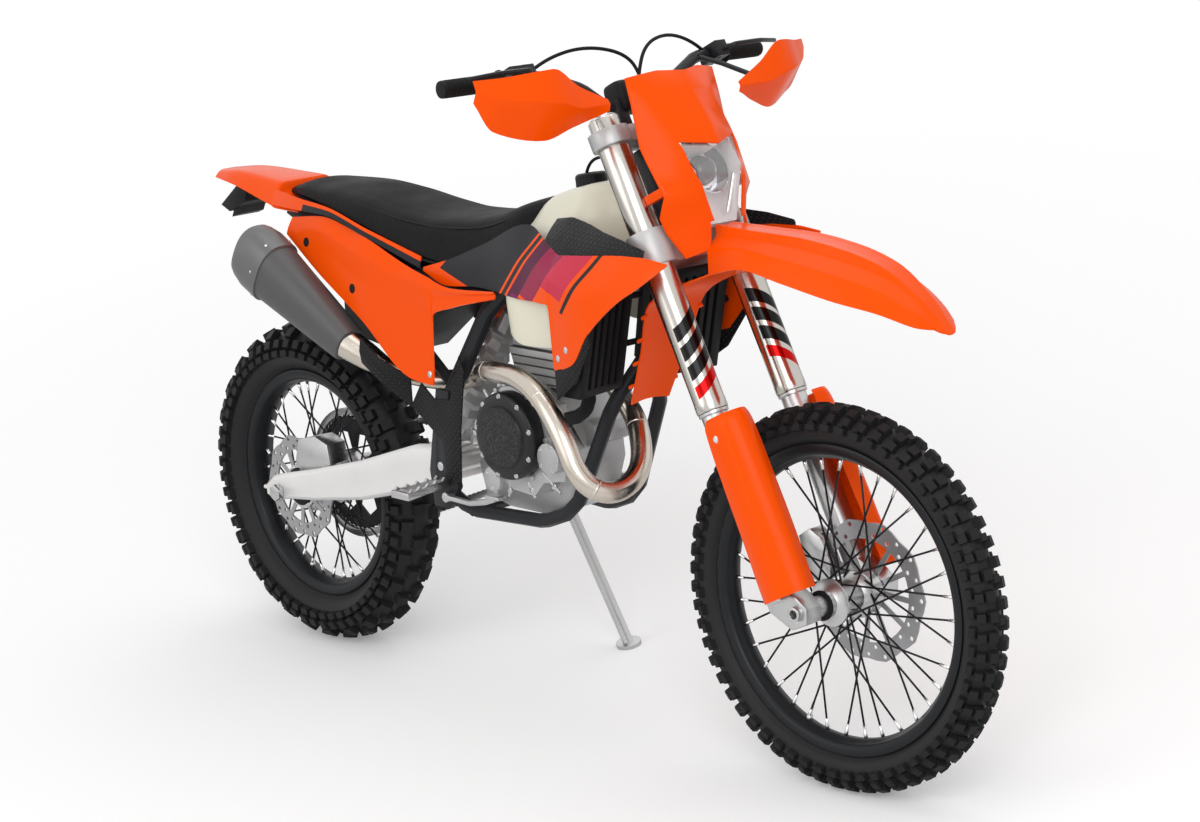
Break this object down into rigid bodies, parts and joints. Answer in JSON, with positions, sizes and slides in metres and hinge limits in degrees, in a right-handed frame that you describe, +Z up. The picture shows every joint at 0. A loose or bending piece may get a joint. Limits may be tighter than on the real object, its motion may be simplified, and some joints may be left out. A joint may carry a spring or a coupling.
{
  "type": "enduro trail motorcycle",
  "caption": "Trail motorcycle with turning wheels, steering and a folding side stand, leaning as parked.",
  "frame": {"origin": "centre of the footprint's bounding box on the floor", "axes": "+X forward, +Y to the motorcycle's left, +Z up; the motorcycle leans to its left on its side stand"},
  "size_m": [2.1728, 0.8366, 1.34],
  "materials": {
    "tyre_rubber": "matt tread rubber",
    "black_rim": "black anodised",
    "silver_metal": "bare machined",
    "disc_steel": "ground",
    "black_metal": "black anodised",
    "chain_steel": "oiled steel",
    "frame_paint": "satin charcoal powder coat",
    "black_plastic": "moulded",
    "engine_metal": "cast",
    "exhaust_steel": "warm bare steel",
    "muffler_finish": "dark satin",
    "black_rubber": "moulded rubber",
    "tank_plastic": "translucent natural plastic",
    "seat_cover": "ribbed vinyl",
    "orange_plastic": "bright orange gloss",
    "shock_parts": "light spring and body",
    "fork_finish": "satin nickel",
    "lamp_lens": "clear lens over a reflector"
  },
  "bodies": {
    "chassis": {"chain": "chain_steel", "drive_sprocket": "silver_metal", "swingarm": "silver_metal", "rear_axle": "silver_metal", "main_frame": "frame_paint", "subframe": "frame_paint", "airbox": "black_plastic", "engine_case": "engine_metal", "cylinder": "engine_metal", "clutch_cover": "black_plastic", "ignition_cover": "black_plastic", "exhaust_header": "exhaust_steel", "muffler": "muffler_finish", "radiators": "black_plastic", "coolant_hose": "black_rubber", "fuel_tank": "tank_plastic", "fuel_cap": "black_plastic", "seat": "seat_cover", "shrouds": "orange_plastic", "shroud_caps": "black_plastic", "side_panels": "orange_plastic", "rear_fender": "orange_plastic", "tail_lamp": "black_plastic", "frame_guards": "black_plastic", "footpegs": "silver_metal", "foot_controls": "silver_metal", "pivot_bolt": "silver_metal", "rear_caliper": "silver_metal", "shock_absorber": "shock_parts"},
    "steering": {"triple_clamps": "silver_metal", "fork_outer_tubes": "fork_finish", "fork_inner_tubes": "silver_metal", "front_axle": "silver_metal", "fork_guards": "orange_plastic", "handlebar": "black_metal", "grips": "black_rubber", "hand_guards": "orange_plastic", "headlamp_mask": "orange_plastic", "headlamp": "lamp_lens", "front_fender": "orange_plastic", "front_caliper": "silver_metal", "control_levers": "black_metal"},
    "front_wheel": {"front_tyre": "tyre_rubber", "front_rim": "black_rim", "front_hub": "silver_metal", "front_disc": "disc_steel"},
    "rear_wheel": {"rear_tyre": "tyre_rubber", "rear_rim": "black_rim", "rear_hub": "silver_metal", "rear_disc": "disc_steel", "rear_sprocket": "black_metal"},
    "side_stand": {"side_stand": "silver_metal"}
  },
  "joints": [
    {"name": "steering_turn", "type": "hinge", "parent": "chassis", "child": "steering", "pos_m": [0.36895, -0.05461, 0.95838], "axis": [-0.4399, 0.1637, 0.883], "range_deg": [-43.77, 36.23]},
    {"name": "front_wheel_spin", "type": "hinge", "parent": "steering", "child": "front_wheel", "pos_m": [0.73942, -0.16518, 0.34125], "axis": [-0.059, 0.9759, -0.2103], "continuous": true},
    {"name": "rear_wheel_spin", "type": "hinge", "parent": "chassis", "child": "rear_wheel", "pos_m": [-0.74747, -0.17007, 0.33541], "axis": [0, 0.9833, -0.1822], "continuous": true},
    {"name": "side_stand_fold", "type": "hinge", "parent": "chassis", "child": "side_stand", "pos_m": [-0.17244, -0.02003, 0.37673], "axis": [0.1058, 0.9887, 0.1061], "range_deg": [0, 113.5]}
  ]
}
